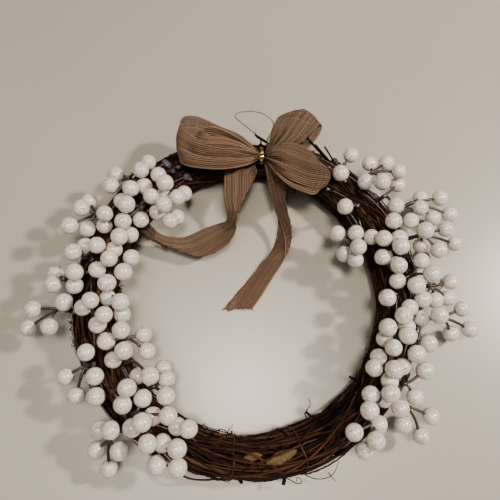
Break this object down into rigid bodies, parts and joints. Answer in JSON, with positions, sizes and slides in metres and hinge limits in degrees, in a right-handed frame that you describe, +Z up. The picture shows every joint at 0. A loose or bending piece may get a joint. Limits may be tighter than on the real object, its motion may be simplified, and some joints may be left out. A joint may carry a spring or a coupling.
{
  "type": "door wreath",
  "caption": "Grapevine door wreath with white berry sprigs down both sides, a woven ribbon bow with two tails and a wire loop to hang it by.",
  "frame": {"origin": "middle of the outline, at the surface that the wreath lies on", "axes": "+Z up from the surface, out of the wreath's face; +Y towards the bow and the hanger, which is up when it hangs; +X to the right as the face is seen"},
  "size_m": [0.3805, 0.3214, 0.0698],
  "materials": {
    "vine": "dry peeling grapevine bark, dark reddish brown, matte",
    "berry": "smooth white lacquered foam",
    "stalk": "paper wrapped wire, dark brown",
    "ribbon": "open plain weave of coarse natural jute yarn",
    "gold": "polished gold",
    "olive_wire": "satin olive gold",
    "glue": "cloudy translucent hot glue",
    "dry_leaf": "dry curled leaf, matte",
    "dark_wire": "dark brown, satin"
  },
  "bodies": {
    "root": {"vine_ring": "vine", "berry_sprig_left_01": "berry", "berry_sprig_left_02": "berry", "berry_sprig_left_03": "berry", "berry_sprig_left_04": "berry", "berry_sprig_left_05": "berry", "berry_sprig_left_06": "berry", "berry_sprig_left_07": "berry", "berry_sprig_left_08": "berry", "berry_sprig_left_09": "berry", "berry_sprig_left_10": "berry", "berry_sprig_left_11": "berry", "berry_sprig_left_12": "berry", "berry_sprig_left_13": "berry", "berry_sprig_left_14": "berry", "berry_sprig_left_15": "berry", "berry_sprig_left_16": "berry", "berry_sprig_left_17": "berry", "berry_sprig_left_18": "berry", "berry_sprig_left_19": "berry", "berry_sprig_left_20": "berry", "berry_sprig_left_21": "berry", "berry_sprig_right_01": "berry", "berry_sprig_right_02": "berry", "berry_sprig_right_03": "berry", "berry_sprig_right_04": "berry", "berry_sprig_right_05": "berry", "berry_sprig_right_06": "berry", "berry_sprig_right_07": "berry", "berry_sprig_right_08": "berry", "berry_sprig_right_09": "berry", "berry_sprig_right_10": "berry", "berry_sprig_right_11": "berry", "berry_sprig_right_12": "berry", "berry_sprig_right_13": "berry", "berry_sprig_right_14": "berry", "berry_sprig_right_15": "berry", "berry_sprig_right_16": "berry", "berry_sprig_right_17": "berry", "berry_sprig_right_18": "berry", "berry_sprig_right_19": "berry", "berry_sprig_right_20": "berry", "berry_sprig_right_21": "berry", "berry_sprig_right_22": "berry", "ribbon_bow": "ribbon", "tie_wire": "gold", "gold_bead": "gold", "hanger_loop": "olive_wire", "glue_blob_1": "glue", "glue_blob_2": "glue", "glue_blob_3": "glue", "glue_blob_4": "glue", "dry_leaf_1": "dry_leaf", "dry_leaf_2": "dry_leaf", "binding_wire_1": "dark_wire", "binding_wire_2": "dark_wire"}
  },
  "joints": []
}
